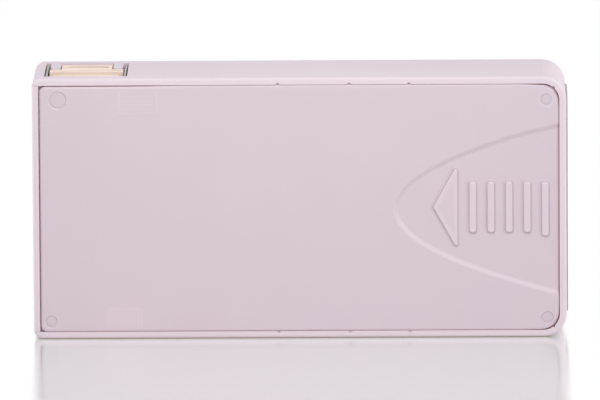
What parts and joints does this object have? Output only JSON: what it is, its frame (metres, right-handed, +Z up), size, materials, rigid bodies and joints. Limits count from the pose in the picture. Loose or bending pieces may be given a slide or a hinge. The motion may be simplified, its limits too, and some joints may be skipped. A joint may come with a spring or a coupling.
{
  "type": "power bank",
  "caption": "Slim box power bank standing on its long edge, with a sliding battery cover, stacked charging sockets in one narrow side, a power button and charge lights.",
  "frame": {"origin": "centre of the long edge that the power bank stands on", "axes": "+X along the case away from the socket end, +Y out of the plain front face, +Z up from the long edge that it stands on to the side with the sockets"},
  "size_m": [0.0914, 0.0226, 0.0449],
  "materials": {
    "case_plastic": "satin",
    "cover_plastic": "satin",
    "pad_rubber": "matte",
    "deck_plastic": "satin",
    "button_plastic": "satin",
    "screw_steel": "zinc plated",
    "board_laminate": "solder mask",
    "shell_steel": "nickel plated",
    "socket_plastic": "moulded",
    "contact_gold": "gold flash",
    "contact_nickel": "nickel plated",
    "black_plastic": "moulded",
    "white_plastic": "matte",
    "clear_plastic": "frosted",
    "led_resin": "resin",
    "ferrite": "sintered",
    "capacitor_can": "bare",
    "capacitor_ceramic": "ceramic",
    "lead_insulation": "soft",
    "cell_can": "nickel plated",
    "cell_sleeve": "shrink film"
  },
  "bodies": {
    "case": {"case": "case_plastic", "end_pad": "pad_rubber", "inner_deck": "deck_plastic", "deck_screws": "screw_steel", "circuit_board": "board_laminate", "socket_shell": "shell_steel", "socket_block": "socket_plastic", "output_contacts": "contact_gold", "input_shell": "shell_steel", "input_tongue": "black_plastic", "input_contacts": "contact_gold", "switch_body": "black_plastic", "light_guide": "clear_plastic", "indicator_leds": "led_resin", "control_chip": "black_plastic", "boost_inductor": "ferrite", "bulk_capacitor": "capacitor_can", "small_capacitors": "capacitor_ceramic", "positive_plate": "contact_nickel", "negative_plate": "contact_nickel", "upper_spring": "contact_nickel", "lower_spring": "contact_nickel", "negative_lead": "lead_insulation", "upper_cell_can": "cell_can", "upper_cell_sleeve": "cell_sleeve", "upper_cell_ring": "white_plastic", "upper_cell_cap": "contact_nickel", "lower_cell_can": "cell_can", "lower_cell_sleeve": "cell_sleeve", "lower_cell_ring": "white_plastic", "lower_cell_cap": "contact_nickel"},
    "cover": {"sliding_cover": "cover_plastic"},
    "button": {"power_button": "button_plastic", "switch_plunger": "white_plastic"}
  },
  "joints": [
    {"name": "cover_slide", "type": "slide", "parent": "case", "child": "cover", "axis": [-1, 0, 0], "range_m": [0, 0.078]},
    {"name": "button_press", "type": "slide", "parent": "case", "child": "button", "axis": [0, -1, 0], "range_m": [0, 0.00025], "stiffness_N_per_m": 1200}
  ]
}
